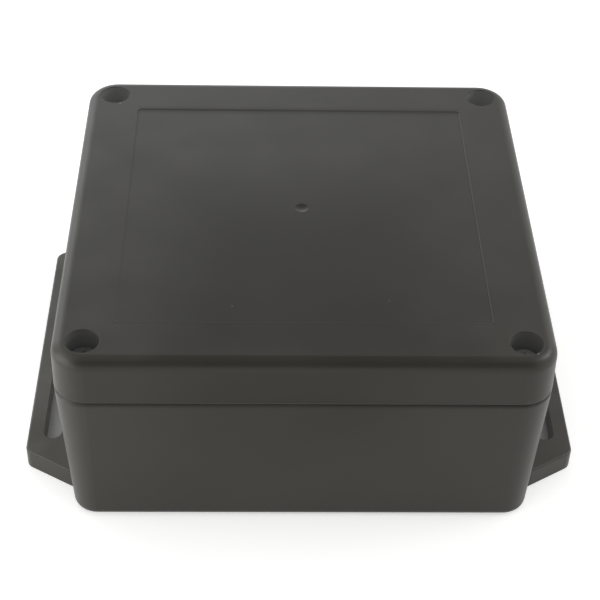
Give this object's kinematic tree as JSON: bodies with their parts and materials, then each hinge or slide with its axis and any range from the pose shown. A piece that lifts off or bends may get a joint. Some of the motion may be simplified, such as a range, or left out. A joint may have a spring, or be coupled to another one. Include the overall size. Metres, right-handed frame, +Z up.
{
  "type": "electrical distribution box",
  "caption": "Square moulded distribution box with a drafted base, a lid screwed on at its corners and a slotted mounting flange on two sides.",
  "frame": {"origin": "centre of the box's underside", "axes": "+X to the right across the flanges, +Y to the back, +Z up through the lid"},
  "size_m": [0.143, 0.12, 0.0548],
  "materials": {
    "base_plastic": "fine satin texture, black ABS",
    "lid_plastic": "fine satin texture, black ABS",
    "seal_rubber": "soft black cord",
    "screw_steel": "zinc plated, dull",
    "washer_steel": "zinc plated, dull",
    "insert_brass": "turned and knurled"
  },
  "bodies": {
    "base": {"base": "base_plastic", "threaded_insert_front_left": "insert_brass", "threaded_insert_front_right": "insert_brass", "threaded_insert_back_left": "insert_brass", "threaded_insert_back_right": "insert_brass"},
    "lid": {"lid": "lid_plastic", "lid_gasket": "seal_rubber"},
    "washer_front_left": {"screw_washer_front_left": "washer_steel"},
    "screw_front_left": {"lid_screw_front_left": "screw_steel"},
    "washer_front_right": {"screw_washer_front_right": "washer_steel"},
    "screw_front_right": {"lid_screw_front_right": "screw_steel"},
    "washer_back_left": {"screw_washer_back_left": "washer_steel"},
    "screw_back_left": {"lid_screw_back_left": "screw_steel"},
    "washer_back_right": {"screw_washer_back_right": "washer_steel"},
    "screw_back_right": {"lid_screw_back_right": "screw_steel"}
  },
  "joints": [
    {"name": "lid_lift", "type": "slide", "parent": "base", "child": "lid", "axis": [0, 0, 1], "range_m": [0, 0.06]},
    {"name": "screw_rise_front_left", "type": "slide", "parent": "lid", "child": "washer_front_left", "axis": [0, 0, 1], "range_m": [0, 0.0098]},
    {"name": "screw_turn_front_left", "type": "hinge", "parent": "washer_front_left", "child": "screw_front_left", "pos_m": [-0.05225, -0.05225, 0.0474], "axis": [0, 0, 1], "range_deg": [0, 5045]},
    {"name": "screw_rise_front_right", "type": "slide", "parent": "lid", "child": "washer_front_right", "axis": [0, 0, 1], "range_m": [0, 0.0098]},
    {"name": "screw_turn_front_right", "type": "hinge", "parent": "washer_front_right", "child": "screw_front_right", "pos_m": [0.05225, -0.05225, 0.0474], "axis": [0, 0, 1], "range_deg": [0, 5045]},
    {"name": "screw_rise_back_left", "type": "slide", "parent": "lid", "child": "washer_back_left", "axis": [0, 0, 1], "range_m": [0, 0.0098]},
    {"name": "screw_turn_back_left", "type": "hinge", "parent": "washer_back_left", "child": "screw_back_left", "pos_m": [-0.05225, 0.05225, 0.0474], "axis": [0, 0, 1], "range_deg": [0, 5045]},
    {"name": "screw_rise_back_right", "type": "slide", "parent": "lid", "child": "washer_back_right", "axis": [0, 0, 1], "range_m": [0, 0.0098]},
    {"name": "screw_turn_back_right", "type": "hinge", "parent": "washer_back_right", "child": "screw_back_right", "pos_m": [0.05225, 0.05225, 0.0474], "axis": [0, 0, 1], "range_deg": [0, 5045]}
  ],
  "couplings": [
    {"joint": "screw_turn_front_left", "follows": "screw_rise_front_left", "rad_per_m": 8976},
    {"joint": "screw_turn_front_right", "follows": "screw_rise_front_right", "rad_per_m": 8976},
    {"joint": "screw_turn_back_left", "follows": "screw_rise_back_left", "rad_per_m": 8976},
    {"joint": "screw_turn_back_right", "follows": "screw_rise_back_right", "rad_per_m": 8976}
  ]
}
